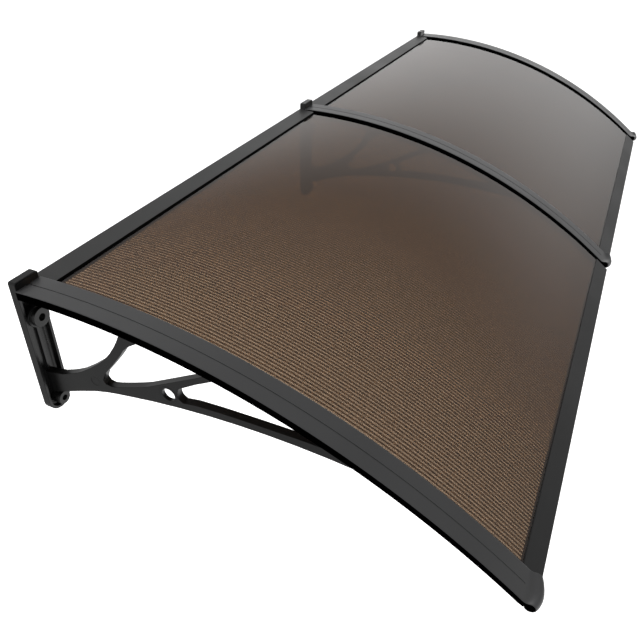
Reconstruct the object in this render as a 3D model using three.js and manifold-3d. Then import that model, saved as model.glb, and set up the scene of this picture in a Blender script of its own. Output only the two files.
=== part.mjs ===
// A door canopy: two arched twin-wall sheets held by three moulded wall brackets.
//
// Millimetres, +Z up. The wall is the plane Y = 0 and the canopy reaches out towards -Y.
// X = 0 is the middle bracket's centre line, and Z = 0 lies just above the highest point of the cap strips.
// Side outlines are drawn as (out, up): out is the distance from the wall, up is the height.

import * as THREE from "three";
import { mergeVertices } from "three/addons/utils/BufferGeometryUtils.js";
import Module from "manifold-3d";

const wasm = await Module();
wasm.setup();

// Overall sizes.
const BRACKET_SPACING = 970;
const SHEET_FRONT = 803;
const GAP = 0.3;
const REAR_CLEARANCE = 0.9;

// The two arcs that every curved piece follows. Both centres lie under the same point.
const ARC_OUT = 66;
const SHEET_ARC_UP = -1255.5;
const SHEET_TOP_R = 1242.7;
const CAP_ARC_UP = -1233;
const CAP_TOP_R = 1232;
const ARC_STATIONS = 14;
const FAR_BELOW = -700;

// Twin-wall sheet.
const SHEET_THICK = 5;
const SHEET_SKIN = 0.9;
const FLUTES = 12;
const FLUTE_WALL = 1.2;

// Cap strip over each bracket.
const CAP_WIDTH = 50.5;
const CAP_TOP_WALL = 3.4;
const CAP_SIDE_WALL = 2.6;
const CAP_EDGE_ROUND = 0.9;
const CAP_SOLID_END = 11;
const GROOVE_WIDTH = 2.4;
const GROOVE_DEPTH = 1.2;
const GROOVE_RECESS_R = 4.5;
const NOSE_R = 8.2;
const NOSE_LEAD = 13;
const NOSE_AXIS_DROP = 1.2;
const NOSE_RISE = 6;
const NOSE_RISE_LENGTH = 16;
const NOSE_PLAN_R = 44.3;

// Bracket moulding.
const WEB_THICK = 14;
const WEB_EDGE_ROUND = 3.6;
const WEB_LEAD = 3;
const WEB_TIP_SLANT = 8;
const RAIL_BOTTOM_R = 1203;
const LEDGE_HALF = 17;
const LEDGE_THICK = 3;
const ARM_ARC_OUT = 432;
const ARM_ARC_UP = -1488;
const ARM_ARC_R = 1351.2;
const ARM_FRONT = 568;
const ARM_BACK = 177;
const ARM_RUNOUT = 7;
const HUB_HOLE_OUT = 258;
const HUB_HOLE_UP = -124;
const HUB_HOLE_R = 11.5;
const HUB_PAD_R = 15.5;
const MARK_OUT = 114.5;
const MARK_UP = -152;
const MARK_R = 8.5;
const MARK_STEP = 0.4;
const WEB_ROOT = 3;

// The web's right face is sunk between the openings, which leaves a rim round every edge.
const RECESS_DEPTH = 7;
const RECESS_EDGE = 5.5;
const RECESS_RIM = 3.5;

// Wall plate of the bracket.
const PLATE_WIDTH = 46;
const PLATE_DEPTH = 13.7;
const PLATE_TOP = 10;
const PLATE_ROUND_UP = -228;
const PLATE_FLOOR = 4;
const PLATE_WALL = 5;
const CHANNEL_TOP = -20;
const CHANNEL_FILLET = 5;
const BLOCK_ROUND = 4;
const BLOCK_CHAMFER = 2;
const BOSS_REACH = 25;
const BOSSES = [
  { up: -60, radius: 16, hole: 6.1 },
  { up: -227, radius: 12, hole: 5 },
];
const COLLAR_R = 19;
const COLLAR_REACH = 17;
const RIB_HALF = 2.5;
const RIB_REACH = 8;

// Rear and front bars.
const BAR_WALL = 1.5;
const BAR_EDGE = 0.8;
const SLOT_CLEARANCE = 0.45;
const REAR_BAR_BACK = 1;
const REAR_BAR_FRONT = 41;
const REAR_BAR_TOP_BACK = -3;
const REAR_BAR_TOP_FRONT = -5.8;
const FRONT_BAR_GRIP = 9.5;
const FRONT_BAR_WIDTH = 37.2;
const FRONT_BAR_RISE = 3.3;
const FRONT_BAR_DROP = 9;

// Screws from below, through the bracket into the cap strip.
const SCREW_OUTS = [95, 275, 450, SHEET_FRONT - 103];
const SCREW_R = 2;
const SCREW_CLEARANCE = 0.4;
const SCREW_HEAD_R = 4;
const SCREW_HEAD_HEIGHT = 2.4;
const HEAD_CLEARANCE = 0.6;
const COUNTERBORE_DEPTH = 4;
const CAP_BOSS_WALL = 2.2;
const SOCKET_R = 1.3;
const SOCKET_DEPTH = 1.4;

// Sizes that follow from the ones above.
const SHEET_REAR = PLATE_DEPTH + REAR_CLEARANCE;
const CAP_REAR = SHEET_REAR;
const WEB_FRONT = SHEET_FRONT + WEB_LEAD;
const NOSE_AXIS_OUT = SHEET_FRONT + NOSE_LEAD;
const NOSE_AXIS_UP = arcUp(CAP_ARC_UP, CAP_TOP_R, NOSE_AXIS_OUT) - NOSE_AXIS_DROP;
const NOSE_TILT = Math.asin((NOSE_AXIS_OUT - ARC_OUT) / CAP_TOP_R);
const FRONT_BAR_INNER = SHEET_FRONT - FRONT_BAR_GRIP;
const FRONT_BAR_TILT = Math.asin((NOSE_AXIS_OUT - ARC_OUT) / SHEET_TOP_R);
const CAP_UNDER_R = SHEET_TOP_R + GAP;
const SHEET_UNDER_R = SHEET_TOP_R - SHEET_THICK;
const LEDGE_TOP_R = SHEET_UNDER_R - GAP;
const CAP_HALF = CAP_WIDTH / 2;
const WEB_HALF = WEB_THICK / 2;
const BAR_LENGTH = BRACKET_SPACING - Math.max(CAP_WIDTH, PLATE_WIDTH) - 2 * GAP;
const SHEET_WIDTH = BRACKET_SPACING - WEB_THICK - 4 * GAP;
const SCREW_HOLE_R = SCREW_R + SCREW_CLEARANCE;
const COUNTERBORE_R = SCREW_HEAD_R + HEAD_CLEARANCE;
const CAP_BOSS_R = SCREW_HOLE_R + CAP_BOSS_WALL;

// Colours read from the photograph.
const BODY_BLACK = { color: 0x2b2b2c, roughness: 0.62, metalness: 0 };
const CAP_BLACK = { color: 0x242425, roughness: 0.5, metalness: 0 };
const BAR_BLACK = { color: 0x222324, roughness: 0.45, metalness: 0.1 };
const SHEET_BRONZE = { color: 0x6b5647, roughness: 0.15, metalness: 0, transparent: true, opacity: 0.8 };
const SCREW_STEEL = { color: 0x8f9296, roughness: 0.35, metalness: 0.9 };

// Directions in which outlines are extruded: across the canopy, and out from the wall.
const ACROSS = new THREE.Matrix4().makeBasis(
  new THREE.Vector3(0, -1, 0),
  new THREE.Vector3(0, 0, 1),
  new THREE.Vector3(-1, 0, 0),
);
const OUTWARD = new THREE.Matrix4().makeBasis(
  new THREE.Vector3(1, 0, 0),
  new THREE.Vector3(0, 0, 1),
  new THREE.Vector3(0, -1, 0),
);

// A three.js geometry as a solid that can be joined and cut.
function solid(geometry) {
  const bare = geometry.clone();
  bare.deleteAttribute("normal");
  bare.deleteAttribute("uv");
  const merged = mergeVertices(bare, 1e-4);
  return new wasm.Manifold(
    new wasm.Mesh({
      numProp: 3,
      vertProperties: merged.attributes.position.array,
      triVerts: new Uint32Array(merged.index.array),
    }),
  );
}

// The finished solid as a named mesh.
function meshOf(name, made, look) {
  const result = made.getMesh();
  const geometry = new THREE.BufferGeometry();
  geometry.setAttribute("position", new THREE.BufferAttribute(result.vertProperties, 3));
  geometry.setIndex(new THREE.BufferAttribute(result.triVerts, 1));
  geometry.computeVertexNormals();
  const mesh = new THREE.Mesh(geometry, new THREE.MeshStandardMaterial(look));
  mesh.name = name;
  return mesh;
}

// A side outline extruded across the canopy, from X = low to X = high.
function acrossSolid(outline, low, high, bevel = 0, bevelSteps = 2) {
  const geometry = new THREE.ExtrudeGeometry(new THREE.Shape(outline), {
    depth: high - low - 2 * bevel,
    bevelEnabled: bevel > 0,
    bevelThickness: bevel,
    bevelSize: bevel,
    bevelOffset: -bevel,
    bevelSegments: bevelSteps,
  });
  geometry.applyMatrix4(ACROSS);
  geometry.translate(high - bevel, 0, 0);
  return solid(geometry);
}

// A front outline, drawn as (X, up), extruded out from the wall.
function outwardSolid(outline, near, far, bevel = 0) {
  const geometry = new THREE.ExtrudeGeometry(outline, {
    depth: far - near - 2 * bevel,
    bevelEnabled: bevel > 0,
    bevelThickness: bevel,
    bevelSize: bevel,
    bevelOffset: -bevel,
    bevelSegments: 2,
    curveSegments: 10,
  });
  geometry.applyMatrix4(OUTWARD);
  geometry.translate(0, -(near + bevel), 0);
  return solid(geometry);
}

// A round solid whose axis points straight out from the wall.
function outwardCylinder(radius, up, near, far, segments) {
  const geometry = new THREE.CylinderGeometry(radius, radius, far - near, segments);
  geometry.translate(0, -(near + far) / 2, up);
  return solid(geometry);
}

function box(x0, x1, out0, out1, up0, up1) {
  const geometry = new THREE.BoxGeometry(x1 - x0, out1 - out0, up1 - up0);
  geometry.translate((x0 + x1) / 2, -(out0 + out1) / 2, (up0 + up1) / 2);
  return solid(geometry);
}

const at = (out, up) => new THREE.Vector2(out, up);

// Height of an arc that is centred over ARC_OUT.
function arcUp(centreUp, radius, out) {
  return centreUp + Math.sqrt(radius * radius - (out - ARC_OUT) ** 2);
}

const sheetUp = (radius, out) => arcUp(SHEET_ARC_UP, radius, out);

// The stations at which every arc has its corners, so that neighbouring pieces keep an even gap.
const FIRST_ANGLE = Math.asin((SHEET_REAR - ARC_OUT) / SHEET_TOP_R);
const LAST_ANGLE = Math.asin((SHEET_FRONT - ARC_OUT) / SHEET_TOP_R);

// Points of an arc between two distances from the wall, with corners at the shared stations.
function arc(centreUp, radius, out0, out1) {
  const low = Math.min(out0, out1);
  const high = Math.max(out0, out1);
  const points = [at(low, arcUp(centreUp, radius, low))];
  for (let i = 0; i <= ARC_STATIONS; i += 1) {
    const angle = THREE.MathUtils.lerp(FIRST_ANGLE, LAST_ANGLE, i / ARC_STATIONS);
    const out = ARC_OUT + radius * Math.sin(angle);
    if (out > low + 2 && out < high - 2) {
      points.push(at(out, arcUp(centreUp, radius, out)));
    }
  }
  points.push(at(high, arcUp(centreUp, radius, high)));
  return out1 < out0 ? points.reverse() : points;
}

// A smooth curve through the given points.
function smooth(points, steps) {
  return new THREE.SplineCurve(points).getPoints(steps);
}

// A round solid that runs across the canopy.
function acrossCylinder(out, up, radius, low, high, segments) {
  const geometry = new THREE.CylinderGeometry(radius, radius, high - low, segments);
  geometry.rotateZ(Math.PI / 2);
  geometry.translate((low + high) / 2, -out, up);
  return solid(geometry);
}

// An outline moved outwards by a distance. Very sharp corners are cut short.
function grown(points, distance) {
  const side = Math.sign(THREE.ShapeUtils.area(points)) * distance;
  return points.map((point, i) => {
    const before = point.clone().sub(points.at(i - 1)).normalize();
    const after = points[(i + 1) % points.length].clone().sub(point).normalize();
    const middle = before.clone().add(after).normalize();
    const reach = side / Math.max(0.5, middle.dot(before));
    return at(point.x + middle.y * reach, point.y - middle.x * reach);
  });
}

// The strip between two of the sheet's arcs, with its ends square to them.
// The ends are measured on the sheet's top.
function band(topR, underR, out0, out1) {
  const onArc = (radius, out) => ARC_OUT + ((out - ARC_OUT) * radius) / SHEET_TOP_R;
  return [
    ...arc(SHEET_ARC_UP, topR, onArc(topR, out0), onArc(topR, out1)),
    ...arc(SHEET_ARC_UP, underR, onArc(underR, out1), onArc(underR, out0)),
  ];
}

// Placement of a thing that stands square on the sheet's arc at a distance from the wall.
function squareOnArc(out, radius) {
  const angle = Math.asin((out - ARC_OUT) / radius);
  return new THREE.Matrix4()
    .makeTranslation(0, -out, sheetUp(radius, out))
    .multiply(new THREE.Matrix4().makeRotationX(angle + Math.PI / 2));
}

// A cylinder on a screw's axis. Heights are measured from the web's top along the axis.
function screwCylinder(out, radius, low, high, segments) {
  const geometry = new THREE.CylinderGeometry(radius, radius, high - low, segments);
  geometry.translate(0, (low + high) / 2, 0);
  geometry.applyMatrix4(squareOnArc(out, SHEET_TOP_R));
  return solid(geometry);
}

// Height of the web along a screw's axis.
function webHeight(out) {
  const angle = Math.asin((out - ARC_OUT) / SHEET_TOP_R);
  return (sheetUp(SHEET_TOP_R, out) - arcUp(CAP_ARC_UP, RAIL_BOTTOM_R, out)) * Math.cos(angle);
}

// Openings in the bracket's web.
const railArc = (out0, out1) => arc(CAP_ARC_UP, RAIL_BOTTOM_R, out0, out1);

function wallOpening() {
  return [
    ...railArc(-5, 182),
    ...smooth([
      at(181, -41),
      at(171.3, -60.1),
      at(151.6, -88.6),
      at(128, -112),
      at(90, -141),
      at(63.7, -155),
      at(36.6, -165.9),
      at(-5, -172),
    ], 12),
  ];
}

function middleOpening() {
  return [
    ...railArc(221, 332),
    at(309, -73.3),
    at(262, -99.6),
    at(220, -122.9),
    ...smooth([at(204.5, -130), at(181.1, -139.4), at(157.2, -148.3)], 3),
    ...smooth([at(146.1, -151.4), at(136, -150), at(131.8, -143)], 4),
    ...smooth([
      at(137.5, -129.2),
      at(147.6, -117),
      at(159.6, -102.1),
      at(175.3, -81.7),
      at(189, -62),
      at(205.3, -49.9),
    ], 8),
  ];
}

function frontOpening() {
  return [
    ...railArc(348, 522),
    at(508, -121.2),
    at(470, -121),
    at(406, -122.3),
    at(350, -124),
    at(305, -126.8),
    ...smooth([at(283, -131), at(275.5, -125.5), at(273.4, -114.8), at(278, -105.5)], 6),
    at(310.4, -84.5),
    at(336.9, -69.5),
  ];
}

// Underside of the lower arm, from its front end back into the wall plate, and the same line further up.
function armUnder(rise) {
  const points = [];
  for (let i = 0; i <= 8; i += 1) {
    const out = THREE.MathUtils.lerp(ARM_FRONT, ARM_BACK, i / 8);
    points.push(at(out, ARM_ARC_UP + Math.sqrt((ARM_ARC_R + rise) ** 2 - (out - ARM_ARC_OUT) ** 2)));
  }
  const root = [at(150, -166.2), at(110.2, -176.6), at(49, -200.5), at(WEB_ROOT, -219.6)];
  return [...points, ...smooth(root, 6).map((point) => at(point.x, point.y + rise))];
}

// Side outline of the whole web: rail, lower arm and root in the wall plate.
function webOutline() {
  return [
    ...arc(SHEET_ARC_UP, SHEET_TOP_R, WEB_ROOT, WEB_FRONT),
    ...railArc(WEB_FRONT - WEB_TIP_SLANT, ARM_FRONT + ARM_RUNOUT),
    ...armUnder(0),
  ];
}

// The web with its openings, the sunk panel on its right face and the round marks of the mould.
function webSolid() {
  const openings = [wallOpening(), middleOpening(), frontOpening()];
  let web = acrossSolid(webOutline(), -WEB_HALF, WEB_HALF, WEB_EDGE_ROUND);
  const sunk = [...armUnder(RECESS_EDGE), at(WEB_ROOT, PLATE_TOP), at(ARM_FRONT, PLATE_TOP)];
  let recess = acrossSolid(sunk, WEB_HALF - RECESS_DEPTH, WEB_HALF + 1);
  const rail = [
    ...arc(CAP_ARC_UP, RAIL_BOTTOM_R - RECESS_RIM, 0, WEB_FRONT),
    at(WEB_FRONT, PLATE_TOP),
    at(0, PLATE_TOP),
  ];
  recess = recess.subtract(acrossSolid(rail, -WEB_HALF, WEB_HALF + 2));
  const rootEnd = PLATE_DEPTH + RECESS_EDGE;
  recess = recess.subtract(box(-WEB_HALF, WEB_HALF + 2, 0, rootEnd, FAR_BELOW, PLATE_TOP));
  for (const opening of openings) {
    recess = recess.subtract(acrossSolid(grown(opening, RECESS_RIM), -WEB_HALF, WEB_HALF + 2));
    web = web.subtract(acrossSolid(opening, -WEB_HALF - 1, WEB_HALF + 1));
  }
  const pad = acrossCylinder(HUB_HOLE_OUT, HUB_HOLE_UP, HUB_PAD_R, -WEB_HALF - MARK_STEP, 1 - WEB_HALF, 24);
  const hole = acrossCylinder(HUB_HOLE_OUT, HUB_HOLE_UP, HUB_HOLE_R, -WEB_HALF - 1, WEB_HALF + 1, 24);
  const mark = acrossCylinder(MARK_OUT, MARK_UP, MARK_R, -WEB_HALF - 1, MARK_STEP - WEB_HALF, 20);
  return web.subtract(recess).add(pad).subtract(hole).subtract(mark);
}

function plate() {
  const half = PLATE_WIDTH / 2;
  const corner = half - BLOCK_ROUND;
  const outline = new THREE.Shape();
  outline.absarc(corner, PLATE_TOP - BLOCK_ROUND, BLOCK_ROUND, 0, Math.PI / 2, false);
  outline.absarc(-corner, PLATE_TOP - BLOCK_ROUND, BLOCK_ROUND, Math.PI / 2, Math.PI, false);
  outline.absarc(0, PLATE_ROUND_UP, half, Math.PI, 2 * Math.PI, false);
  let made = outwardSolid(outline, 0, PLATE_DEPTH);

  const inner = half - PLATE_WALL;
  const channel = new THREE.Shape();
  channel.moveTo(inner, CHANNEL_TOP);
  channel.lineTo(-inner, CHANNEL_TOP);
  channel.lineTo(-inner, PLATE_ROUND_UP);
  channel.absarc(0, PLATE_ROUND_UP, inner, Math.PI, 2 * Math.PI, false);
  made = made.subtract(outwardSolid(channel, PLATE_FLOOR, PLATE_DEPTH + 10, CHANNEL_FILLET));

  const chamfer = [
    at(PLATE_DEPTH - BLOCK_CHAMFER, PLATE_TOP + 1),
    at(PLATE_DEPTH + 1, PLATE_TOP + 1),
    at(PLATE_DEPTH + 1, PLATE_TOP - BLOCK_CHAMFER),
  ];
  return made.subtract(acrossSolid(chamfer, -half - 1, half + 1));
}

function bracketSolid() {
  const ledge = band(LEDGE_TOP_R, LEDGE_TOP_R - LEDGE_THICK, PLATE_DEPTH - 1, WEB_FRONT - 2);
  let made = plate().add(webSolid()).add(acrossSolid(ledge, -LEDGE_HALF, LEDGE_HALF));
  made = made.add(outwardCylinder(COLLAR_R, BOSSES[0].up, 1, COLLAR_REACH, 28));
  made = made.add(box(-RIB_HALF, RIB_HALF, PLATE_FLOOR - 1, RIB_REACH, BOSSES[1].up, BOSSES[0].up));

  for (const boss of BOSSES) {
    made = made.add(outwardCylinder(boss.radius, boss.up, 1, BOSS_REACH, 28));
  }
  for (const boss of BOSSES) {
    made = made.subtract(outwardCylinder(boss.hole, boss.up, -1, BOSS_REACH + 1, 20));
  }

  for (const out of SCREW_OUTS) {
    const height = webHeight(out);
    made = made.subtract(screwCylinder(out, SCREW_HOLE_R, -height - 3, 3, 10));
    made = made.subtract(screwCylinder(out, COUNTERBORE_R, -height - 3, -height + COUNTERBORE_DEPTH, 12));
  }
  return made;
}

// Top and underside of the cap strip, with the rise into the rounded nose.
function capOutline(front) {
  const nose = arc(CAP_ARC_UP, CAP_TOP_R, CAP_REAR, NOSE_AXIS_OUT - NOSE_RISE_LENGTH - 2);
  const start = nose[nose.length - 1];
  const end = at(NOSE_AXIS_OUT - 2, arcUp(CAP_ARC_UP, CAP_TOP_R + NOSE_RISE, NOSE_AXIS_OUT - 2));
  const bendOut = NOSE_AXIS_OUT - NOSE_RISE_LENGTH / 2;
  const bend = at(bendOut, arcUp(CAP_ARC_UP, CAP_TOP_R + 1, bendOut));
  const rise = new THREE.QuadraticBezierCurve(start, bend, end).getPoints(4).slice(1);
  return [
    ...nose,
    ...rise,
    at(front, arcUp(CAP_ARC_UP, CAP_TOP_R + NOSE_RISE - 1, front)),
    ...arc(SHEET_ARC_UP, CAP_UNDER_R - 6, front, CAP_REAR),
  ];
}

function capSolid() {
  const front = NOSE_AXIS_OUT + 12;
  let made = acrossSolid(capOutline(front), -CAP_HALF, CAP_HALF, CAP_EDGE_ROUND, 1);
  const past = front + 10;
  const below = [...arc(SHEET_ARC_UP, CAP_UNDER_R, 0, past), at(past, FAR_BELOW), at(0, FAR_BELOW)];
  made = made.subtract(acrossSolid(below, -CAP_HALF - 1, CAP_HALF + 1));

  // The front edge is a round bead that bows forward in plan.
  const bead = new THREE.TorusGeometry(NOSE_PLAN_R, NOSE_R, 14, 48);
  bead.applyMatrix4(new THREE.Matrix4().makeRotationX(NOSE_TILT));
  const bow = Math.sqrt(NOSE_PLAN_R ** 2 - CAP_HALF ** 2);
  bead.translate(0, bow * Math.cos(NOSE_TILT) - NOSE_AXIS_OUT, NOSE_AXIS_UP + bow * Math.sin(NOSE_TILT));
  const plan = new THREE.Shape();
  plan.moveTo(-CAP_HALF, -NOSE_AXIS_OUT);
  plan.absellipse(
    0,
    bow * Math.cos(NOSE_TILT) - NOSE_AXIS_OUT,
    NOSE_PLAN_R,
    NOSE_PLAN_R * Math.cos(NOSE_TILT),
    -Math.PI / 2 - Math.asin(CAP_HALF / NOSE_PLAN_R),
    -Math.PI / 2 + Math.asin(CAP_HALF / NOSE_PLAN_R),
    false,
  );
  plan.lineTo(CAP_HALF, 0);
  plan.lineTo(-CAP_HALF, 0);
  const planSolid = new THREE.ExtrudeGeometry(plan, {
    depth: -FAR_BELOW,
    bevelEnabled: false,
    curveSegments: 5,
  });
  planSolid.translate(0, 0, FAR_BELOW + PLATE_TOP);
  made = made.intersect(solid(planSolid));
  const beadZone = box(-CAP_HALF, CAP_HALF, NOSE_AXIS_OUT - 20, NOSE_AXIS_OUT + 40, FAR_BELOW, 0);
  made = made.add(solid(bead).intersect(beadZone));

  // Hollow underside with a boss over each screw.
  const hollowFront = SHEET_FRONT - CAP_SOLID_END;
  const hollow = [
    ...arc(CAP_ARC_UP, CAP_TOP_R - CAP_TOP_WALL, CAP_REAR + CAP_SIDE_WALL, hollowFront),
    ...arc(SHEET_ARC_UP, CAP_UNDER_R - 2, hollowFront, CAP_REAR + CAP_SIDE_WALL),
  ];
  let hollowSolid = acrossSolid(hollow, CAP_SIDE_WALL - CAP_HALF, CAP_HALF - CAP_SIDE_WALL);
  for (const out of SCREW_OUTS) {
    hollowSolid = hollowSolid.subtract(screwCylinder(out, CAP_BOSS_R, -3, 14, 12));
  }
  made = made.subtract(hollowSolid);
  for (const out of SCREW_OUTS) {
    made = made.subtract(screwCylinder(out, SCREW_HOLE_R, -1, capRoom(out), 10));
  }

  // Centre groove, which starts in a half-round recess beside the wall plate.
  const groove = [
    ...arc(CAP_ARC_UP, CAP_TOP_R + 2, CAP_REAR - 1, SHEET_FRONT),
    ...arc(CAP_ARC_UP, CAP_TOP_R - GROOVE_DEPTH, SHEET_FRONT, CAP_REAR - 1),
  ];
  made = made.subtract(acrossSolid(groove, -GROOVE_WIDTH / 2, GROOVE_WIDTH / 2));
  const recess = new THREE.CylinderGeometry(GROOVE_RECESS_R, GROOVE_RECESS_R, 4, 16);
  recess.rotateX(Math.PI / 2);
  recess.translate(0, -CAP_REAR, arcUp(CAP_ARC_UP, CAP_TOP_R - GROOVE_DEPTH, CAP_REAR) + 2);
  return made.subtract(solid(recess));
}

// Room for a screw's tip inside the cap, from the web's top to just under the groove.
function capRoom(out) {
  const angle = Math.asin((out - ARC_OUT) / SHEET_TOP_R);
  const height = (arcUp(CAP_ARC_UP, CAP_TOP_R, out) - sheetUp(SHEET_TOP_R, out)) * Math.cos(angle);
  return height - GROOVE_DEPTH - 1.5;
}

// A round-headed screw with a hexagon socket, standing on +Z with its head at the bottom.
function screwMesh(name, out, x) {
  const room = webHeight(out) - COUNTERBORE_DEPTH;
  const length = room + capRoom(out) - 2 * GAP;
  const profile = [
    at(0, -SCREW_HEAD_HEIGHT),
    at(SCREW_HEAD_R * 0.7, -SCREW_HEAD_HEIGHT),
    at(SCREW_HEAD_R, -SCREW_HEAD_HEIGHT * 0.5),
    at(SCREW_HEAD_R, 0),
    at(SCREW_R, 0),
    at(SCREW_R, length - SCREW_R),
    at(0, length),
  ];
  const body = solid(new THREE.LatheGeometry(profile, 10));
  const socket = new THREE.CylinderGeometry(SOCKET_R, SOCKET_R, 2 * SOCKET_DEPTH, 6);
  socket.translate(0, -SCREW_HEAD_HEIGHT, 0);
  const mesh = meshOf(name, body.subtract(solid(socket)), SCREW_STEEL);
  const seat = squareOnArc(out, SHEET_TOP_R);
  const drop = new THREE.Matrix4().makeTranslation(0, -room - GAP, 0);
  seat.multiply(drop).decompose(mesh.position, mesh.quaternion, mesh.scale);
  mesh.position.x = x;
  return mesh;
}

// Twin-wall sheet: two skins joined by upright walls that run from the wall to the front.
function sheetSolid() {
  const half = SHEET_WIDTH / 2;
  let made = acrossSolid(band(SHEET_TOP_R, SHEET_UNDER_R, SHEET_REAR, SHEET_FRONT), -half, half);
  const cell = band(SHEET_TOP_R - SHEET_SKIN, SHEET_UNDER_R + SHEET_SKIN, SHEET_REAR - 1, SHEET_FRONT + 1);
  const pitch = (SHEET_WIDTH - FLUTE_WALL) / FLUTES;
  for (let i = 0; i < FLUTES; i += 1) {
    const low = -half + FLUTE_WALL + i * pitch;
    made = made.subtract(acrossSolid(cell, low, low + pitch - FLUTE_WALL));
  }
  return made;
}

// Rear bar: a hollow section beside the wall whose slot grips the sheet's rear edge.
function rearBarSolid() {
  const half = BAR_LENGTH / 2;
  const slotBack = SHEET_REAR - GAP;
  const slotTop = (out) => sheetUp(SHEET_TOP_R, out) + SLOT_CLEARANCE;
  const slotUnder = (out) => sheetUp(SHEET_UNDER_R, out) - SLOT_CLEARANCE;
  const lip = REAR_BAR_FRONT - 3;
  const bottom = slotUnder(slotBack) - BAR_WALL;
  const outline = [
    at(REAR_BAR_BACK, bottom),
    at(REAR_BAR_BACK, REAR_BAR_TOP_BACK),
    at(REAR_BAR_FRONT - BAR_EDGE, REAR_BAR_TOP_FRONT),
    at(REAR_BAR_FRONT, REAR_BAR_TOP_FRONT - BAR_EDGE),
    at(REAR_BAR_FRONT, slotTop(REAR_BAR_FRONT)),
    at(slotBack, slotTop(slotBack)),
    at(slotBack, slotUnder(slotBack)),
    at(lip, slotUnder(lip)),
    at(lip, slotUnder(lip) - BAR_WALL),
    at(slotBack, bottom),
  ];
  const cellBack = REAR_BAR_BACK + BAR_WALL;
  const cellFront = REAR_BAR_FRONT - BAR_WALL;
  const cellInner = slotBack - BAR_WALL;
  const cell = [
    at(cellBack, REAR_BAR_TOP_BACK - BAR_WALL),
    at(cellFront, REAR_BAR_TOP_FRONT - BAR_WALL),
    at(cellFront, slotTop(cellFront) + BAR_WALL),
    at(cellInner, slotTop(cellInner) + BAR_WALL),
    at(cellInner, bottom + BAR_WALL),
    at(cellBack, bottom + BAR_WALL),
  ];
  return acrossSolid(outline, -half, half).subtract(acrossSolid(cell, -half - 1, half + 1));
}

// Front bar: the same idea at the lower edge, drawn in a frame that lies along the sheet.
function frontBarSolid() {
  const half = BAR_LENGTH / 2;
  const cos = Math.cos(FRONT_BAR_TILT);
  const sin = Math.sin(FRONT_BAR_TILT);
  const origin = at(FRONT_BAR_INNER, sheetUp(SHEET_TOP_R, FRONT_BAR_INNER));
  const along = (s, h) => at(origin.x + s * cos + h * sin, origin.y - s * sin + h * cos);
  const slotBack = (SHEET_FRONT - FRONT_BAR_INNER) / cos + GAP;
  const slotUnder = -SHEET_THICK - SLOT_CLEARANCE;
  const outline = [
    along(0, SLOT_CLEARANCE),
    along(0, FRONT_BAR_RISE - BAR_EDGE),
    along(BAR_EDGE, FRONT_BAR_RISE),
    along(FRONT_BAR_WIDTH - 2 * BAR_EDGE, FRONT_BAR_RISE),
    along(FRONT_BAR_WIDTH, FRONT_BAR_RISE - 2 * BAR_EDGE),
    along(FRONT_BAR_WIDTH, -FRONT_BAR_DROP),
    along(slotBack, -FRONT_BAR_DROP),
    along(slotBack - 1, slotUnder - BAR_WALL),
    along(2, slotUnder - BAR_WALL),
    along(2, slotUnder),
    along(slotBack, slotUnder),
    along(slotBack, SLOT_CLEARANCE),
  ];
  const cell = [
    along(slotBack + BAR_WALL, FRONT_BAR_RISE - BAR_WALL),
    along(FRONT_BAR_WIDTH - BAR_WALL, FRONT_BAR_RISE - BAR_WALL - BAR_EDGE),
    along(FRONT_BAR_WIDTH - BAR_WALL, BAR_WALL - FRONT_BAR_DROP),
    along(slotBack + BAR_WALL, BAR_WALL - FRONT_BAR_DROP),
  ];
  return acrossSolid(outline, -half, half).subtract(acrossSolid(cell, -half - 1, half + 1));
}

const canopy = new THREE.Group();
canopy.name = "door_canopy";

const bracket = bracketSolid();
const cap = capSolid();
const columns = [
  ["left", -BRACKET_SPACING],
  ["middle", 0],
  ["right", BRACKET_SPACING],
];
for (const [side, x] of columns) {
  const body = meshOf(`bracket_${side}`, bracket, BODY_BLACK);
  const strip = meshOf(`top_strip_${side}`, cap, CAP_BLACK);
  body.position.x = x;
  strip.position.x = x;
  canopy.add(body, strip);
  SCREW_OUTS.forEach((out, i) => canopy.add(screwMesh(`strip_screw_${side}_${i + 1}`, out, x)));
}

const sheet = sheetSolid();
const rearBar = rearBarSolid();
const frontBar = frontBarSolid();
const bays = [
  ["left", -BRACKET_SPACING / 2],
  ["right", BRACKET_SPACING / 2],
];
for (const [side, x] of bays) {
  const pieces = [
    meshOf(`sheet_${side}`, sheet, SHEET_BRONZE),
    meshOf(`rear_bar_${side}`, rearBar, BAR_BLACK),
    meshOf(`front_bar_${side}`, frontBar, BAR_BLACK),
  ];
  for (const piece of pieces) {
    piece.position.x = x;
    canopy.add(piece);
  }
}

export default canopy;
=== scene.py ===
# Door canopy: two arched twin-wall sheets on three moulded brackets, under curved cap strips.
# Everything is in metres, with the wall at Y = 0, the canopy reaching out towards -Y, and +Z up.
import math

import bmesh
import bpy
import numpy as np
from mathutils import Matrix, Vector


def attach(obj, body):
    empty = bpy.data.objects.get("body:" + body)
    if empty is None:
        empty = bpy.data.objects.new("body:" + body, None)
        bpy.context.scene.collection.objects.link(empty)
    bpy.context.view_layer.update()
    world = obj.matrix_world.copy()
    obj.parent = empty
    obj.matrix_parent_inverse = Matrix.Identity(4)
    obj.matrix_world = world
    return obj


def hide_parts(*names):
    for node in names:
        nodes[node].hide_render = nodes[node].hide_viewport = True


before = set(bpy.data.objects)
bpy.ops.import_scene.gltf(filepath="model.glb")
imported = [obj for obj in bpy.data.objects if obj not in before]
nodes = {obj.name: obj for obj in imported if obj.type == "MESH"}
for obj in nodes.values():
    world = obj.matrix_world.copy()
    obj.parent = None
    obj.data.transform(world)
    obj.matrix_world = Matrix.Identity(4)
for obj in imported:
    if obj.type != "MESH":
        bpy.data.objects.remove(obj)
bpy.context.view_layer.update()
mm = 0.001


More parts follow.
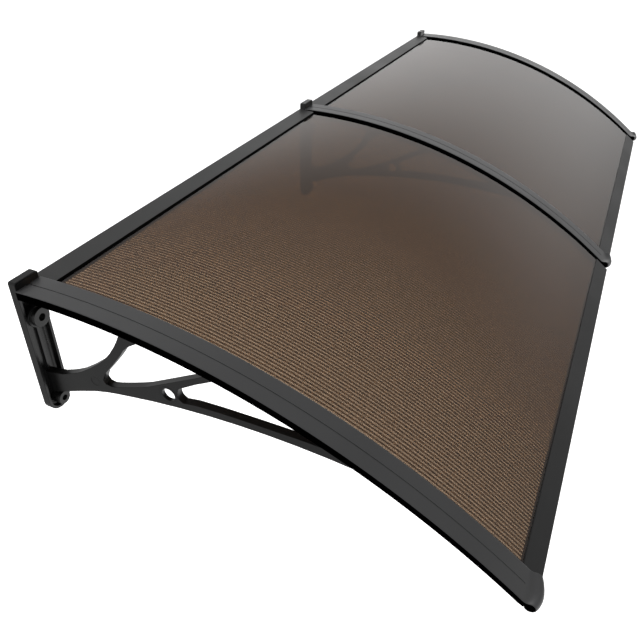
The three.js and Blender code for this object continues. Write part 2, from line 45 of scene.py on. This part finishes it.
# Wall brackets. Each is one injection moulding in black glass-filled plastic: wall plate, bosses,
# curved rail, lower arm, strut and forked branch. The tool is polished, so the plastic is glossy
# with a very fine grain, and every edge of the moulding is eased by about half a millimetre.
def fresh_material(name):
    material = bpy.data.materials.new(name)
    material.use_nodes = True
    return material, material.node_tree, material.node_tree.nodes["Principled BSDF"]


def grain_bump(tree, shader, grain, strength, distance):
    """A fine grain all over. Hands back the coordinates, for the other patterns."""
    place = tree.nodes.new("ShaderNodeTexCoord")
    noise = tree.nodes.new("ShaderNodeTexNoise")
    noise.inputs["Scale"].default_value = grain
    noise.inputs["Detail"].default_value = 2.0
    bump = tree.nodes.new("ShaderNodeBump")
    bump.inputs["Strength"].default_value = strength
    bump.inputs["Distance"].default_value = distance
    tree.links.new(place.outputs["Object"], noise.inputs["Vector"])
    tree.links.new(noise.outputs["Fac"], bump.inputs["Height"])
    tree.links.new(bump.outputs["Normal"], shader.inputs["Normal"])
    return place


def slow_noise(tree, place, scale):
    noise = tree.nodes.new("ShaderNodeTexNoise")
    noise.inputs["Scale"].default_value = scale
    noise.inputs["Detail"].default_value = 4.0
    tree.links.new(place.outputs["Object"], noise.inputs["Vector"])
    return noise.outputs["Fac"]


def drifting_value(tree, place, scale, low, high, socket):
    """A number that drifts between low and high over the piece."""
    noise = slow_noise(tree, place, scale)
    span = tree.nodes.new("ShaderNodeMapRange")
    span.inputs["From Min"].default_value = 0.3
    span.inputs["From Max"].default_value = 0.7
    span.inputs["To Min"].default_value = low
    span.inputs["To Max"].default_value = high
    tree.links.new(noise, span.inputs["Value"])
    tree.links.new(span.outputs["Result"], socket)


def drifting_colour(tree, place, scale, dark, light, socket, start=0.35, end=0.7):
    """A colour that drifts between dark and light over the piece."""
    noise = slow_noise(tree, place, scale)
    ramp = tree.nodes.new("ShaderNodeValToRGB")
    ramp.color_ramp.elements[0].position = start
    ramp.color_ramp.elements[1].position = end
    ramp.color_ramp.elements[0].color = (*dark, 1)
    ramp.color_ramp.elements[1].color = (*light, 1)
    tree.links.new(noise, ramp.inputs["Fac"])
    tree.links.new(ramp.outputs["Color"], socket)


bracket_plastic, tree, shader = fresh_material("bracket_plastic")
place = grain_bump(tree, shader, grain=1400.0, strength=0.12, distance=0.0002)
drifting_value(tree, place, 9.0, 0.26, 0.34, shader.inputs["Roughness"])
drifting_colour(tree, place, 14.0, (0.005, 0.005, 0.005), (0.009, 0.009, 0.009), shader.inputs["Base Color"])

SIDES = ("left", "middle", "right")
SPACING = 970 * mm
BRACKET_EDGE = 0.5 * mm
SAME_POINT = 0.01 * mm
FLAT_WITHIN = math.radians(0.4)
SHARP_OVER = math.radians(50)
EASED_OVER = math.radians(40)


def eased_copy(node, name, width):
    """A copy of a CAD node with its doubles merged, its flat faces joined and its edges eased."""
    mesh = nodes[node].data.copy()
    mesh.name = name
    work = bmesh.new()
    work.from_mesh(mesh)
    bmesh.ops.remove_doubles(work, verts=work.verts, dist=SAME_POINT)
    bmesh.ops.dissolve_limit(work, angle_limit=FLAT_WITHIN, verts=work.verts, edges=work.edges)
    work.to_mesh(mesh)
    work.free()
    mesh.materials.clear()
    mesh.shade_smooth()
    mesh.set_sharp_from_angle(angle=SHARP_OVER)
    piece = bpy.data.objects.new(name, mesh)
    bpy.context.scene.collection.objects.link(piece)
    ease = piece.modifiers.new("eased_edges", "BEVEL")
    ease.width = width
    ease.segments = 2
    ease.limit_method = "ANGLE"
    ease.angle_limit = EASED_OVER
    ease.use_clamp_overlap = False
    level = piece.modifiers.new("flat_faces", "WEIGHTED_NORMAL")
    level.keep_sharp = True
    made = piece.evaluated_get(bpy.context.evaluated_depsgraph_get())
    piece.data = bpy.data.meshes.new_from_object(made)
    piece.modifiers.clear()
    piece.data.name = name
    return piece


for side in SIDES:
    moulding = eased_copy(f"bracket_{side}", f"bracket_moulding_{side}", BRACKET_EDGE)
    moulding.data.materials.append(bracket_plastic)
    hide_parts(f"bracket_{side}")
    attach(moulding, "root")


# Cap strips. A smooth black moulding over each bracket clamps the sheets' edges. It is arched, with a
# thin centre groove and a rounded bead that bows forward as a nose. The top is satin; the sides are
# given a near-black, unglossed colour as painted shade. Sizes in this section are in millimetres, out
# from the wall and up.
ARC_OUT = 66.0  # both arcs are highest this far from the wall
CAP_ARC_UP, CAP_TOP_R = -1233.0, 1232.0
SHEET_ARC_UP, SHEET_TOP_R = -1255.5, 1242.7
CAP_UNDER_R = SHEET_TOP_R + 0.3
CAP_HALF = 25.24
CAP_REAR = 14.6
HOLLOW = (17.2, 792.0)
CAP_TOP_WALL, CAP_SIDE_WALL = 3.4, 2.6
EDGE_ROUND, EDGE_STEPS = 0.9, 4
NOSE_R, NOSE_OUT, NOSE_DROP = 8.2, 815.8, 1.2
NOSE_UP = CAP_ARC_UP + math.sqrt(CAP_TOP_R ** 2 - (NOSE_OUT - ARC_OUT) ** 2) - NOSE_DROP
NOSE_PLAN_R, NOSE_FILLET = 44.3, 10.0
BEAD_END = 6.0  # the bead's round ends this far below its middle
FOOT_GAP = 1.0  # and the underside starts this far behind that end
BOW_FROM, BOW_FULL = 20.0, 4.0  # the bow grows between these distances behind the bead's middle
GROOVE_HALF, GROOVE_DEPTH, GROOVE_FRONT = 1.1, 1.1, 803.0
RECESS_R = 4.5
HOLLOW_ROWS = (18, 10, RECESS_R, 4.2, 3.6, 2.4, GROOVE_HALF)  # from the side wall to the groove
SKIRT, SKIRT_RAMP = 3.0, 16.0  # the end strips reach this much lower on their outer side


def cap_top(out):
    return CAP_ARC_UP + np.sqrt(CAP_TOP_R ** 2 - (out - ARC_OUT) ** 2)


def under_arc(out, radius):
    return SHEET_ARC_UP + np.sqrt(radius ** 2 - (out - ARC_OUT) ** 2)


def cap_side_outline():
    """Side view of the strip: top edge, bead and underside, with a tag for each point."""
    tilt = math.asin((NOSE_OUT - ARC_OUT) / CAP_TOP_R)
    along = np.array([math.cos(tilt), -math.sin(tilt)])
    normal = np.array([math.sin(tilt), math.cos(tilt)])
    centre = np.array([NOSE_OUT, NOSE_UP])
    lift = (centre - [NOSE_OUT, cap_top(NOSE_OUT)]) @ normal
    back = math.sqrt((NOSE_FILLET + NOSE_R) ** 2 - (NOSE_FILLET - lift) ** 2)
    start = NOSE_OUT - back * along[0]
    rear = [CAP_REAR + v for v in (0, 0.6, 1.2, 1.8, 2.4, 3.0, 3.5, 4.0, 4.3, 4.5, 4.8, 8)]
    points = [(o, cap_top(o), "top") for o in rear]
    points += [(o, cap_top(o), "top") for o in np.linspace(30, GROOVE_FRONT - 4, 60)]
    points += [(o, cap_top(o), "top") for o in np.linspace(GROOVE_FRONT - 3, start, 6)]
    fillet = centre - lift * normal - back * along + NOSE_FILLET * normal
    touch = math.atan2(-(NOSE_FILLET - lift), back)
    for angle in np.linspace(-math.pi / 2, touch, 8)[1:]:
        p = fillet + NOSE_FILLET * (math.cos(angle) * along + math.sin(angle) * normal)
        points.append((p[0], p[1], "nose"))
    end = -math.pi + math.asin(BEAD_END / NOSE_R)
    for angle in np.linspace(math.pi + touch, end, 26)[1:]:
        p = centre + NOSE_R * (math.cos(angle) * along + math.sin(angle) * normal)
        points.append((p[0], p[1], "nose"))
    foot = points[-1][0] - FOOT_GAP
    inside = np.linspace(HOLLOW[1] - 0.01, HOLLOW[0] + 0.01, 50)
    points += [(o, under_arc(o, CAP_UNDER_R), "under") for o in np.linspace(foot, HOLLOW[1], 3)]
    points += [(o, under_arc(o, CAP_UNDER_R), "hollow") for o in inside]
    points += [(o, under_arc(o, CAP_UNDER_R), "under") for o in (HOLLOW[0], CAP_REAR)]
    return points, along, centre


def cap_mesh(name, outer_side):
    """Rows of the side outline across the strip's width. outer_side is -1, 0 or 1 along X."""
    points, along, centre = cap_side_outline()
    tags = [p[2] for p in points]
    flat = np.array([p[:2] for p in points], float)
    ahead = np.roll(flat, -1, 0) - np.roll(flat, 1, 0)
    outward = np.stack([-ahead[:, 1], ahead[:, 0]], 1)
    outward /= np.linalg.norm(outward, axis=1)[:, None]
    upper = np.array([t in ("top", "nose") for t in tags])
    exposed = upper.copy()
    exposed[0] = False
    reach = (flat - centre) @ along
    bow_weight = np.clip((reach + BOW_FROM) / (BOW_FROM - BOW_FULL), 0, 1)
    bow_weight = bow_weight * bow_weight * (3 - 2 * bow_weight)
    bow_weight[~upper] = 0.0

    # Each row: place across the width, inset of the rounded edge, in the groove, over the hollow.
    rows = []
    for step in range(EDGE_STEPS + 1):
        turn = math.radians(90 * step / EDGE_STEPS)
        across = CAP_HALF - EDGE_ROUND * (1 - math.cos(turn))
        rows.append((across, EDGE_ROUND * (1 - math.sin(turn)), False, False))
    inner = CAP_HALF - CAP_SIDE_WALL
    rows.append((inner, 0, False, False))
    rows += [(x, 0, False, True) for x in (inner, *HOLLOW_ROWS)]
    rows.append((GROOVE_HALF, 0, True, True))
    rows += [(-x, inset, groove, hollow) for x, inset, groove, hollow in reversed(rows)]

    verts = []
    for x, inset, groove, hollow in rows:
        line = flat.copy()
        line[exposed] -= outward[exposed] * inset
        bow = math.sqrt(NOSE_PLAN_R ** 2 - x * x) - math.sqrt(NOSE_PLAN_R ** 2 - CAP_HALF ** 2)
        line += along * bow * bow_weight[:, None]
        for i, tag in enumerate(tags):
            out, up = line[i]
            if tag == "hollow" and hollow:
                up = CAP_ARC_UP + math.sqrt((CAP_TOP_R - CAP_TOP_WALL) ** 2 - (out - ARC_OUT) ** 2)
            if tag in ("under", "hollow") and x * outer_side >= inner and not hollow:
                up -= SKIRT * min(1.0, max(0.0, (NOSE_OUT - out) / SKIRT_RAMP))
            in_recess = (out - CAP_REAR) ** 2 + x * x < RECESS_R ** 2
            if tag == "top" and ((groove and out < GROOVE_FRONT) or in_recess):
                up -= GROOVE_DEPTH
            verts.append((x * mm, -out * mm, up * mm))
    count = len(flat)
    faces = []
    face_slots = []
    for r in range(len(rows) - 1):
        for i in range(count):
            j = (i + 1) % count
            faces.append((r * count + i, r * count + j, (r + 1) * count + j, (r + 1) * count + i))
            face_slots.append(0)
    # The two side faces take slot 1, the near-black painted shade; all other faces take the satin.
    faces.append(tuple(range(count)))
    faces.append(tuple(range((len(rows) - 1) * count, len(rows) * count)))
    face_slots += [1, 1]
    mesh = bpy.data.meshes.new(name)
    mesh.from_pydata(verts, [], faces)
    for polygon, slot in zip(mesh.polygons, face_slots):
        polygon.material_index = slot
    work = bmesh.new()
    work.from_mesh(mesh)
    bmesh.ops.remove_doubles(work, verts=work.verts, dist=1e-7)
    bmesh.ops.recalc_face_normals(work, faces=work.faces)
    work.to_mesh(mesh)
    work.free()
    mesh.shade_smooth()
    mesh.set_sharp_from_angle(angle=math.radians(35))
    return mesh


strip_satin, tree, shader = fresh_material("strip_satin")
place = grain_bump(tree, shader, grain=1800.0, strength=0.12, distance=0.0001)
drifting_value(tree, place, 6.0, 0.30, 0.38, shader.inputs["Roughness"])
drifting_colour(tree, place, 10.0, (0.050, 0.050, 0.051), (0.056, 0.056, 0.057), shader.inputs["Base Color"])

# Painted shade: the strips' side faces get a near-black colour with no gloss, far darker than the satin top
# of the same moulding, standing for shade on the sides.
strip_side_painted_shade, tree, shader = fresh_material("strip_side_painted_shade")
place = grain_bump(tree, shader, grain=900.0, strength=0.05, distance=0.0001)
drifting_value(tree, place, 6.0, 0.30, 0.38, shader.inputs["Roughness"])
drifting_colour(tree, place, 10.0, (0.0004, 0.0004, 0.0004), (0.0010, 0.0010, 0.0010),
                shader.inputs["Base Color"])
shader.inputs["Specular IOR Level"].default_value = 0.0

for i, side in enumerate(SIDES):
    mesh = cap_mesh(f"cap_strip_{side}", i - 1)
    mesh.transform(Matrix.Translation(((i - 1) * SPACING, 0, 0)))
    mesh.materials.append(strip_satin)
    mesh.materials.append(strip_side_painted_shade)
    strip = bpy.data.objects.new(f"cap_strip_{side}", mesh)
    strip.visible_glossy = False
    bpy.context.scene.collection.objects.link(strip)
    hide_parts(f"top_strip_{side}")
    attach(strip, "root")


# Sheets. Extruded twin-wall polycarbonate, 5 mm thick, bronze all through: two skins joined by
# upright walls 6.7 mm apart, cut across the flutes and bent cold on to the brackets' arc.
SHEET_REAR, SHEET_FRONT = 14.6, 803.0
SHEET = {
    "Width": 954.8 * mm,
    "Thickness": 5.0 * mm,
    "Skin": 0.55 * mm,
    "Wall": 0.5 * mm,
    "Flutes": 143,
    "Radius": SHEET_TOP_R * mm,
    "Centre Out": ARC_OUT * mm,
    "Centre Up": SHEET_ARC_UP * mm,
    "Start": math.asin((SHEET_REAR - ARC_OUT) / SHEET_TOP_R),
    "End": math.asin((SHEET_FRONT - ARC_OUT) / SHEET_TOP_R),
    "Steps": 36,
}


def sheet_tree():
    """Outline of the sheet's end with its flutes, swept straight and then bent to the arc."""
    tree = bpy.data.node_groups.new("twin_wall_sheet", "GeometryNodeTree")
    face = tree.interface
    face.new_socket("Geometry", in_out="OUTPUT", socket_type="NodeSocketGeometry")
    for name, value in SHEET.items():
        kind = "NodeSocketInt" if isinstance(value, int) else "NodeSocketFloat"
        face.new_socket(name, in_out="INPUT", socket_type=kind)
    face.new_socket("Skin Material", in_out="INPUT", socket_type="NodeSocketMaterial")
    face.new_socket("Wall Material", in_out="INPUT", socket_type="NodeSocketMaterial")
    enter = tree.nodes.new("NodeGroupInput")
    leave = tree.nodes.new("NodeGroupOutput")
    given = enter.outputs

    def node(kind, **settings):
        made = tree.nodes.new(kind)
        for key, value in settings.items():
            setattr(made, key, value)
        return made

    def feed(socket, value):
        if isinstance(value, (int, float)):
            socket.default_value = value
        else:
            tree.links.new(value, socket)

    def calc(operation, a, b=0.0):
        made = node("ShaderNodeMath", operation=operation)
        feed(made.inputs[0], a)
        feed(made.inputs[1], b)
        return made.outputs[0]

    pitch = calc("DIVIDE", calc("SUBTRACT", given["Width"], given["Wall"]), given["Flutes"])

    # One flute's outline, repeated along the sheet's width.
    flute = node("GeometryNodeCurvePrimitiveQuadrilateral")
    feed(flute.inputs["Width"], calc("SUBTRACT", pitch, given["Wall"]))
    both_skins = calc("MULTIPLY", given["Skin"], 2.0)
    feed(flute.inputs["Height"], calc("SUBTRACT", given["Thickness"], both_skins))
    rail = node("GeometryNodeMeshLine", mode="OFFSET")
    feed(rail.inputs["Count"], given["Flutes"])
    first = node("ShaderNodeCombineXYZ")
    spread = calc("MULTIPLY", pitch, calc("SUBTRACT", given["Flutes"], 1.0))
    feed(first.inputs["X"], calc("MULTIPLY", spread, -0.5))
    step = node("ShaderNodeCombineXYZ")
    feed(step.inputs["X"], pitch)
    tree.links.new(first.outputs[0], rail.inputs["Start Location"])
    tree.links.new(step.outputs[0], rail.inputs["Offset"])
    repeat = node("GeometryNodeInstanceOnPoints")
    tree.links.new(rail.outputs["Mesh"], repeat.inputs["Points"])
    tree.links.new(flute.outputs["Curve"], repeat.inputs["Instance"])
    flutes = node("GeometryNodeRealizeInstances")
    tree.links.new(repeat.outputs["Instances"], flutes.inputs["Geometry"])
    turned = node("GeometryNodeReverseCurve")
    tree.links.new(flutes.outputs["Geometry"], turned.inputs["Curve"])

    # The sheet's outer outline, and both together as the section.
    rim = node("GeometryNodeCurvePrimitiveQuadrilateral")
    feed(rim.inputs["Width"], given["Width"])
    feed(rim.inputs["Height"], given["Thickness"])
    section = node("GeometryNodeJoinGeometry")
    tree.links.new(turned.outputs["Curve"], section.inputs["Geometry"])
    tree.links.new(rim.outputs["Curve"], section.inputs["Geometry"])

    # The straight run of extrusion, one unit of angle per unit of length for now.
    run = node("GeometryNodeCurvePrimitiveLine")
    start = node("ShaderNodeCombineXYZ")
    feed(start.inputs["Y"], given["Start"])
    end = node("ShaderNodeCombineXYZ")
    feed(end.inputs["Y"], given["End"])
    tree.links.new(start.outputs[0], run.inputs["Start"])
    tree.links.new(end.outputs[0], run.inputs["End"])
    stations = node("GeometryNodeResampleCurve")
    tree.links.new(run.outputs["Curve"], stations.inputs["Curve"])
    feed(stations.inputs["Count"], calc("ADD", given["Steps"], 1.0))
    swept = node("GeometryNodeCurveToMesh")
    tree.links.new(stations.outputs["Curve"], swept.inputs["Curve"])
    tree.links.new(section.outputs["Geometry"], swept.inputs["Profile Curve"])

    # Cut faces at both ends, with the flutes left open.
    cut = node("GeometryNodeFillCurve")
    tree.links.new(section.outputs["Geometry"], cut.inputs["Curve"])
    ends = []
    for limit in (given["Start"], given["End"]):
        there = node("ShaderNodeCombineXYZ")
        feed(there.inputs["Y"], limit)
        stand = node("GeometryNodeTransform")
        stand.inputs["Rotation"].default_value = (math.pi / 2, 0, 0)
        tree.links.new(cut.outputs["Mesh"], stand.inputs["Geometry"])
        tree.links.new(there.outputs[0], stand.inputs["Translation"])
        ends.append(stand.outputs["Geometry"])
    back = node("GeometryNodeFlipFaces")
    tree.links.new(ends[1], back.inputs["Mesh"])
    whole = node("GeometryNodeJoinGeometry")
    tree.links.new(swept.outputs["Mesh"], whole.inputs["Geometry"])
    tree.links.new(ends[0], whole.inputs["Geometry"])
    tree.links.new(back.outputs["Mesh"], whole.inputs["Geometry"])
    welded = node("GeometryNodeMergeByDistance")
    tree.links.new(whole.outputs["Geometry"], welded.inputs["Geometry"])
    welded.inputs["Distance"].default_value = 0.00002

    # Bending: length along Y is the angle, height above the middle is added to the radius.
    where = node("GeometryNodeInputPosition")
    split = node("ShaderNodeSeparateXYZ")
    tree.links.new(where.outputs[0], split.inputs[0])
    middle = calc("SUBTRACT", given["Radius"], calc("MULTIPLY", given["Thickness"], 0.5))
    radius = calc("ADD", middle, split.outputs["Z"])
    out = calc("ADD", given["Centre Out"], calc("MULTIPLY", radius, calc("SINE", split.outputs["Y"])))
    up = calc("ADD", given["Centre Up"], calc("MULTIPLY", radius, calc("COSINE", split.outputs["Y"])))
    bent = node("ShaderNodeCombineXYZ")
    tree.links.new(split.outputs["X"], bent.inputs["X"])
    feed(bent.inputs["Y"], calc("MULTIPLY", out, -1.0))
    feed(bent.inputs["Z"], up)
    bend = node("GeometryNodeSetPosition")
    tree.links.new(welded.outputs["Geometry"], bend.inputs["Geometry"])
    tree.links.new(bent.outputs[0], bend.inputs["Position"])
    real = node("GeometryNodeRealizeInstances")
    tree.links.new(bend.outputs["Geometry"], real.inputs["Geometry"])
    skins = node("GeometryNodeSetMaterial")
    tree.links.new(real.outputs["Geometry"], skins.inputs["Geometry"])
    tree.links.new(given["Skin Material"], skins.inputs["Material"])
    facing = node("GeometryNodeInputNormal")
    parts = node("ShaderNodeSeparateXYZ")
    tree.links.new(facing.outputs[0], parts.inputs[0])
    upright = node("FunctionNodeCompare", data_type="FLOAT", operation="GREATER_THAN")
    tree.links.new(calc("ABSOLUTE", parts.outputs["X"]), upright.inputs[0])
    upright.inputs[1].default_value = 0.7
    walls = node("GeometryNodeSetMaterial")
    tree.links.new(skins.outputs["Geometry"], walls.inputs["Geometry"])
    tree.links.new(upright.outputs[0], walls.inputs["Selection"])
    tree.links.new(given["Wall Material"], walls.inputs["Material"])
    tree.links.new(walls.outputs["Geometry"], leave.inputs["Geometry"])
    return tree


def bronze(name, body, tint):
    """Clear bronze plastic: a share of tinted body colour, the rest see-through, under a gloss."""
    material, tree, shader = fresh_material(name)
    place = grain_bump(tree, shader, grain=30.0, strength=0.04, distance=0.0005)
    drifting_colour(tree, place, 4.0, (0.072, 0.038, 0.018), (0.086, 0.048, 0.024),
                    shader.inputs["Base Color"], start=0.3)
    shader.inputs["Roughness"].default_value = 0.5
    shader.inputs["Specular IOR Level"].default_value = 0.0
    clear = tree.nodes.new("ShaderNodeBsdfTransparent")
    clear.inputs["Color"].default_value = tint
    inside = tree.nodes.new("ShaderNodeMixShader")
    inside.inputs["Fac"].default_value = body
    gloss = tree.nodes.new("ShaderNodeBsdfGlossy")
    drifting_value(tree, place, 5.0, 0.06, 0.11, gloss.inputs["Roughness"])
    edge = tree.nodes.new("ShaderNodeFresnel")
    edge.inputs["IOR"].default_value = 1.58
    side = tree.nodes.new("ShaderNodeNewGeometry")
    front = tree.nodes.new("ShaderNodeMath")
    front.operation = "SUBTRACT"
    front.inputs[0].default_value = 1.0
    share = tree.nodes.new("ShaderNodeMath")
    share.operation = "MULTIPLY"
    whole = tree.nodes.new("ShaderNodeMixShader")
    output = tree.nodes["Material Output"]
    tree.links.new(clear.outputs[0], inside.inputs[1])
    tree.links.new(shader.outputs[0], inside.inputs[2])
    tree.links.new(side.outputs["Backfacing"], front.inputs[1])
    tree.links.new(edge.outputs[0], share.inputs[0])
    tree.links.new(front.outputs[0], share.inputs[1])
    tree.links.new(share.outputs[0], whole.inputs["Fac"])
    tree.links.new(inside.outputs[0], whole.inputs[1])
    tree.links.new(gloss.outputs[0], whole.inputs[2])
    tree.links.new(whole.outputs[0], output.inputs["Surface"])
    return material


bronze_skin = bronze("bronze_skin", 0.25, (0.80, 0.735, 0.665, 1))
bronze_wall = bronze("bronze_wall", 0.33, (0.62, 0.50, 0.37, 1))

sheet_nodes = sheet_tree()
sheet_inputs = [item for item in sheet_nodes.interface.items_tree if item.in_out == "INPUT"]
sockets = {item.name: item.identifier for item in sheet_inputs}
for side, centre_x in (("left", -SPACING / 2), ("right", SPACING / 2)):
    blank = bpy.data.objects.new(f"sheet_blank_{side}", bpy.data.meshes.new("blank"))
    bpy.context.scene.collection.objects.link(blank)
    maker = blank.modifiers.new("twin_wall", "NODES")
    maker.node_group = sheet_nodes
    for name, value in SHEET.items():
        maker[sockets[name]] = value
    maker[sockets["Skin Material"]] = bronze_skin
    maker[sockets["Wall Material"]] = bronze_wall
    made = blank.evaluated_get(bpy.context.evaluated_depsgraph_get())
    mesh = bpy.data.meshes.new_from_object(made)
    mesh.name = f"twin_wall_sheet_{side}"
    mesh.transform(Matrix.Translation((centre_x, 0, 0)))
    outward = bmesh.new()
    outward.from_mesh(mesh)
    bmesh.ops.recalc_face_normals(outward, faces=outward.faces)
    outward.to_mesh(mesh)
    outward.free()
    mesh.shade_smooth()
    mesh.set_sharp_from_angle(angle=math.radians(35))
    bpy.data.objects.remove(blank)
    panel = bpy.data.objects.new(f"twin_wall_sheet_{side}", mesh)
    bpy.context.scene.collection.objects.link(panel)
    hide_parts(f"sheet_{side}")
    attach(panel, "root")


# Bars. Hollow aluminium extrusions with a satin black powder coat grip the sheets at the wall and
# along the front edge. They are sawn square and butt against the cap strips. The front bars' coat is
# given a darker, duller copy of the colour as painted shade, and the rear bars' front lip is painted
# near-black as painted shade.
BAR_EDGE = 0.25 * mm


def powder_coat(name, dark, light, gloss):
    coat, tree, shader = fresh_material(name)
    place = grain_bump(tree, shader, grain=2200.0, strength=0.15, distance=0.0001)
    drifting_value(tree, place, 5.0, 0.38, 0.48, shader.inputs["Roughness"])
    drifting_colour(tree, place, 8.0, (dark, dark, dark), (light, light, light), shader.inputs["Base Color"])
    shader.inputs["Specular IOR Level"].default_value = gloss
    return coat


# Painted shade: the front bars' coat is a darker, duller copy of the rear bars' coat, standing for shade
# rather than a different paint.
coats = {"rear": powder_coat("rear_bar_coat", 0.024, 0.029, 0.5),
         "front": powder_coat("front_bar_painted_shade_coat", 0.011, 0.014, 0.34)}
# Painted shade: the rear bars' faces that look out over the sheet get a near-black colour that stands for
# the shade under the lip.
lip_painted_shade, tree, shader = fresh_material("lip_painted_shade")
place = grain_bump(tree, shader, grain=2200.0, strength=0.1, distance=0.0001)
drifting_value(tree, place, 5.0, 0.45, 0.55, shader.inputs["Roughness"])
drifting_colour(tree, place, 8.0, (0.001, 0.001, 0.001), (0.002, 0.002, 0.002), shader.inputs["Base Color"])
shader.inputs["Specular IOR Level"].default_value = 0.05

for bar in ("rear_bar_left", "rear_bar_right", "front_bar_left", "front_bar_right"):
    section = eased_copy(bar, f"{bar}_section", BAR_EDGE)
    section.data.materials.append(coats[bar.split("_")[0]])
    section.data.materials.append(lip_painted_shade)
    # Rear bars' faces turned out over the sheet take slot 1, the painted-shade black.
    for polygon in section.data.polygons:
        faces_out = polygon.normal.y < -0.6
        if bar.startswith("rear") and faces_out:
            polygon.material_index = 1
    section.visible_glossy = False
    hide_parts(bar)
    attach(section, "root")


# Screws. Zinc-plated steel with round heads and hexagon sockets, driven from below through the
# brackets' counterbored rail into the cap strips.
zinc, tree, shader = fresh_material("zinc_plate")
place = grain_bump(tree, shader, grain=2500.0, strength=0.1, distance=0.0001)
drifting_value(tree, place, 60.0, 0.28, 0.42, shader.inputs["Roughness"])
drifting_colour(tree, place, 90.0, (0.42, 0.43, 0.45), (0.52, 0.53, 0.54), shader.inputs["Base Color"])
shader.inputs["Metallic"].default_value = 1.0
for name, node in nodes.items():
    if name.startswith("strip_screw"):
        node.data.materials.clear()
        node.data.materials.append(zinc)


# Studio. A pale floor well below and a white surround, which only the camera sees. The plastic sees a
# grey surround, brighter at both ends and on the floor in front to the right. A broad soft lamp stands
# above and behind the wall, and a small one low in front to the left.
FLOOR_HALF, FLOOR_UP = 30, -1.6
floor_corners = [(x * FLOOR_HALF, y * FLOOR_HALF, FLOOR_UP) for x, y in ((-1, -1), (1, -1), (1, 1), (-1, 1))]
floor_mesh = bpy.data.meshes.new("studio_floor")
floor_mesh.from_pydata(floor_corners, [], [(0, 1, 2, 3)])
floor = bpy.data.objects.new("studio_floor", floor_mesh)
bpy.context.scene.collection.objects.link(floor)
pale, tree, shader = fresh_material("pale_floor")
shader.inputs["Base Color"].default_value = (0.9, 0.9, 0.9, 1)
shader.inputs["Roughness"].default_value = 1.0
shader.inputs["Specular IOR Level"].default_value = 0.0
shader.inputs["Emission Color"].default_value = (1, 1, 1, 1)
shader.inputs["Emission Strength"].default_value = 0.85
floor_mesh.materials.append(pale)
floor.visible_diffuse = False
floor.visible_glossy = False
floor.visible_transmission = False
floor.visible_shadow = False

world = bpy.data.worlds.new("studio")
world.use_nodes = True
tree = world.node_tree
sky = tree.nodes["Background"]
toward = tree.nodes.new("ShaderNodeTexCoord")


def compare_way(operation, way, given):
    """Vector math of a direction with a fixed one."""
    made = tree.nodes.new("ShaderNodeVectorMath")
    made.operation = operation
    made.inputs[1].default_value = given
    tree.links.new(way, made.inputs[0])
    return made


def soft_step(value, limits, strengths):
    """Goes smoothly from the first strength to the second between the two limits."""
    step = tree.nodes.new("ShaderNodeMapRange")
    step.interpolation_type = "SMOOTHSTEP"
    tree.links.new(value, step.inputs["Value"])
    for name, number in zip(("From Min", "From Max", "To Min", "To Max"), (*limits, *strengths)):
        step.inputs[name].default_value = number
    return step.outputs[0]


def added(one, other):
    made = tree.nodes.new("ShaderNodeMath")
    tree.links.new(one, made.inputs[0])
    tree.links.new(other, made.inputs[1])
    return made.outputs[0]


direction = toward.outputs["Generated"]
height = tree.nodes.new("ShaderNodeSeparateXYZ")
tree.links.new(direction, height.inputs[0])
grey = soft_step(height.outputs["Z"], (-0.14, 0.02), (0.40, 0.38))
squashed = compare_way("MULTIPLY", direction, (0.0, 0.55, 1.25))
from_ends = compare_way("DISTANCE", squashed.outputs["Vector"], (0.0, 0.06, 0.25))
gleam = soft_step(from_ends.outputs["Value"], (0.10, 0.42), (0.95, 0.0))
front_floor = compare_way("DOT_PRODUCT", direction, Vector((0.55, -0.45, -0.70)).normalized())
glow = soft_step(front_floor.outputs["Value"], (0.55, 0.95), (0.0, 0.65))
tree.links.new(added(grey, added(gleam, glow)), sky.inputs["Strength"])
white = tree.nodes.new("ShaderNodeBackground")
white.inputs["Strength"].default_value = 1.1
ray = tree.nodes.new("ShaderNodeLightPath")
seen = tree.nodes.new("ShaderNodeMixShader")
tree.links.new(ray.outputs["Is Camera Ray"], seen.inputs["Fac"])
tree.links.new(sky.outputs[0], seen.inputs[1])
tree.links.new(white.outputs[0], seen.inputs[2])
tree.links.new(seen.outputs[0], tree.nodes["World Output"].inputs["Surface"])
sky.inputs["Color"].default_value = (1, 1, 1, 1)
white.inputs["Color"].default_value = (1, 1, 1, 1)
bpy.context.scene.world = world
bpy.context.scene.view_settings.view_transform = "Standard"


def soft_light(name, place, aim, size, watts):
    lamp = bpy.data.lights.new(name, "AREA")
    lamp.shape = "RECTANGLE"
    lamp.size, lamp.size_y = size
    lamp.energy = watts
    holder = bpy.data.objects.new(name, lamp)
    holder.location = place
    holder.rotation_euler = (Vector(aim) - Vector(place)).to_track_quat("-Z", "Y").to_euler()
    holder.visible_glossy = False
    bpy.context.scene.collection.objects.link(holder)
    return holder


soft_light("overhead", (0.0, 2.0, 2.5), (0, -0.35, 0), (4.0, 3.0), 130)
soft_light("front_left", (-2.3, -2.6, -0.1), (-0.6, 0, -0.2), (1.6, 0.7), 8)

# The camera stands where the photograph was taken from.
camera = bpy.data.cameras.new("camera")
camera.sensor_width = 36
camera.lens = 36.549
camera.clip_end = 100
holder = bpy.data.objects.new("camera", camera)
right = (0.42410595, -0.90548904, 0.0149578)
up = (0.51961405, 0.25683392, 0.81488501)
back = (-0.74171112, -0.3378253, 0.57942962)
stand = Matrix((right, up, back)).transposed().to_4x4()
stand.translation = (-1.538319, -0.758213, 0.527878)
holder.matrix_world = stand
bpy.context.scene.collection.objects.link(holder)
bpy.context.scene.camera = holder
